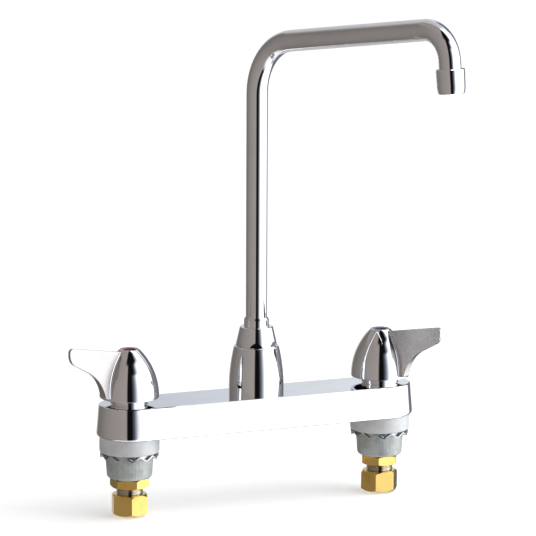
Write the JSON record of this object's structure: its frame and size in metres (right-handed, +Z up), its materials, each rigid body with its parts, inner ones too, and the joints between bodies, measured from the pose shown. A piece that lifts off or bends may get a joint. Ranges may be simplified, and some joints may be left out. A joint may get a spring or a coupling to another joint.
{
  "type": "sink faucet",
  "caption": "Deck-mounted kitchen sink faucet: wing handles on a chrome body bar, a high swing spout on a centre tower, and threaded inlets with nuts below the deck.",
  "frame": {"origin": "midway between the two shanks, on the plane where the body bar meets the deck", "axes": "+Z up along the riser, +X towards the cold handle, +Y towards the wall; the user stands on the -Y side"},
  "size_m": [0.2848, 0.2264, 0.3808],
  "materials": {
    "chrome": "polished chrome plate over cast and turned brass",
    "satin_zinc": "satin die-cast zinc",
    "dull_zinc": "dull die-cast zinc, as cast",
    "bright_steel": "plain bright steel",
    "brass": "raw machined brass",
    "neck_brass": "machined brass",
    "rubber": "smooth black rubber",
    "white_plastic": "white acetal",
    "ceramic": null,
    "fibre": "red-brown vulcanised fibre",
    "hot_mark": "translucent red plastic",
    "cold_mark": "translucent blue plastic"
  },
  "bodies": {
    "faucet_base": {"deck_body": "chrome", "spout_nut": "chrome", "swivel_washer": "white_plastic", "friction_ring": "white_plastic", "hot_shank": "brass", "hot_deck_washer": "satin_zinc", "hot_lock_washer": "bright_steel", "hot_locknut": "dull_zinc", "hot_inlet_adapter": "brass", "hot_inlet_washer": "fibre", "hot_coupling_nut": "brass", "hot_compression_sleeve": "neck_brass", "hot_seat_seal": "rubber", "hot_cartridge_case": "neck_brass", "hot_case_seal": "rubber", "hot_lower_disc": "ceramic", "hot_bonnet": "chrome", "cold_shank": "brass", "cold_deck_washer": "satin_zinc", "cold_lock_washer": "bright_steel", "cold_locknut": "dull_zinc", "cold_inlet_adapter": "brass", "cold_inlet_washer": "fibre", "cold_coupling_nut": "brass", "cold_compression_sleeve": "neck_brass", "cold_seat_seal": "rubber", "cold_cartridge_case": "neck_brass", "cold_case_seal": "rubber", "cold_lower_disc": "ceramic", "cold_bonnet": "chrome"},
    "spout": {"spout_tube": "chrome", "swivel_sleeve": "chrome", "swivel_seals": "rubber", "outlet_shell": "chrome", "outlet_gasket": "rubber", "flow_straightener": "white_plastic", "outlet_screen": "bright_steel"},
    "hot_handle_set": {"hot_upper_disc": "ceramic", "hot_valve_stem": "neck_brass", "hot_stem_seal": "rubber", "hot_stem_clip": "bright_steel", "hot_handle": "chrome", "hot_handle_screw": "bright_steel", "hot_index_ring": "hot_mark"},
    "cold_handle_set": {"cold_upper_disc": "ceramic", "cold_valve_stem": "neck_brass", "cold_stem_seal": "rubber", "cold_stem_clip": "bright_steel", "cold_handle": "chrome", "cold_handle_screw": "bright_steel", "cold_index_ring": "cold_mark"}
  },
  "joints": [
    {"name": "spout_swivel", "type": "hinge", "parent": "faucet_base", "child": "spout", "pos_m": [0, 0, 0.045], "axis": [0, 0, 1], "continuous": true},
    {"name": "hot_handle_turn", "type": "hinge", "parent": "faucet_base", "child": "hot_handle_set", "pos_m": [-0.1016, 0, 0.03], "axis": [0, 0, 1], "range_deg": [-21.5, 68.5]},
    {"name": "cold_handle_turn", "type": "hinge", "parent": "faucet_base", "child": "cold_handle_set", "pos_m": [0.1016, 0, 0.03], "axis": [0, 0, 1], "range_deg": [-24.5, 65.5]}
  ]
}
